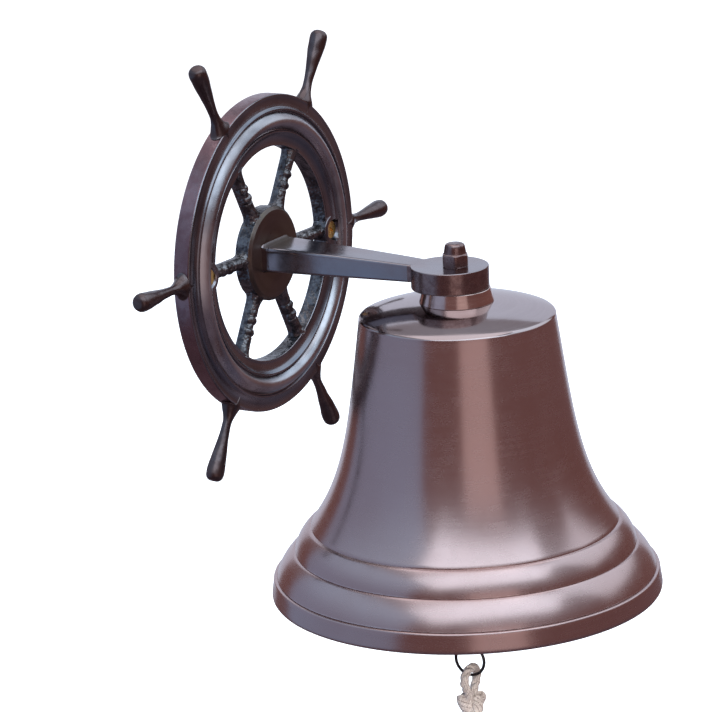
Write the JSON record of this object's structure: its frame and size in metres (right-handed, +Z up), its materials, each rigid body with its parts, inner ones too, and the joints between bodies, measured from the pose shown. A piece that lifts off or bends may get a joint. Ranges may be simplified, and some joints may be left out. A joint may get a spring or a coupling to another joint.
{
  "type": "ship bell",
  "caption": "Wall-hung ship bell in antique copper on a ship's-wheel bracket, with a swinging clapper, split ring and braided cotton lanyard.",
  "frame": {"origin": "centre of the wheel's flat back face, on the wall", "axes": "+Z up, the wall is the plane y = 0 and +Y points into it; the bell hangs in front, towards -Y"},
  "size_m": [0.22, 0.193, 0.4492],
  "materials": {
    "bell_copper": "antique copper, satin brushed around the bell",
    "collar_copper": "antique copper, polished on the turned faces",
    "wheel_bronze": "dark antique bronze, cast texture, polished ring face",
    "arm_bronze": "dark antique bronze, polished",
    "screw_brass": "plain yellow brass",
    "clapper_brass": "dull turned brass",
    "steel": "zinc plated steel",
    "black_wire": "blackened steel wire",
    "cotton": "natural cotton rope, undyed"
  },
  "bodies": {
    "root": {"wheel_ring": "wheel_bronze", "wheel_hub": "wheel_bronze", "spoke_1": "wheel_bronze", "spoke_2": "wheel_bronze", "spoke_3": "wheel_bronze", "spoke_4": "wheel_bronze", "spoke_5": "wheel_bronze", "spoke_6": "wheel_bronze", "handle_1": "wheel_bronze", "handle_2": "wheel_bronze", "handle_3": "wheel_bronze", "handle_4": "wheel_bronze", "handle_5": "wheel_bronze", "handle_6": "wheel_bronze", "mounting_screws": "screw_brass", "bracket_arm": "arm_bronze", "arm_screw": "steel", "cap_nut": "collar_copper", "hanger_stud": "steel", "crown_collar": "collar_copper", "bell_shell": "bell_copper", "crown_washer": "steel", "lock_nut": "steel", "clapper_fork": "clapper_brass", "clapper_pin": "steel"},
    "clapper": {"clapper_rod": "clapper_brass", "clapper_ball": "clapper_brass"},
    "link": {"split_ring": "black_wire"},
    "lanyard": {"lanyard_loop": "cotton", "lanyard_braid": "cotton", "lanyard_knot": "cotton", "lanyard_tassel": "cotton"}
  },
  "joints": [
    {"name": "clapper_swing", "type": "hinge", "parent": "root", "child": "clapper", "pos_m": [0, -0.103, -0.038], "axis": [1, 0, 0], "range_deg": [-32, 32]},
    {"name": "ring_swing", "type": "hinge", "parent": "clapper", "child": "link", "pos_m": [0, -0.103, -0.1793], "axis": [0, 1, 0], "range_deg": [-40, 40]},
    {"name": "lanyard_swing", "type": "hinge", "parent": "link", "child": "lanyard", "pos_m": [0, -0.103, -0.191], "axis": [1, 0, 0], "range_deg": [-45, 45]}
  ]
}
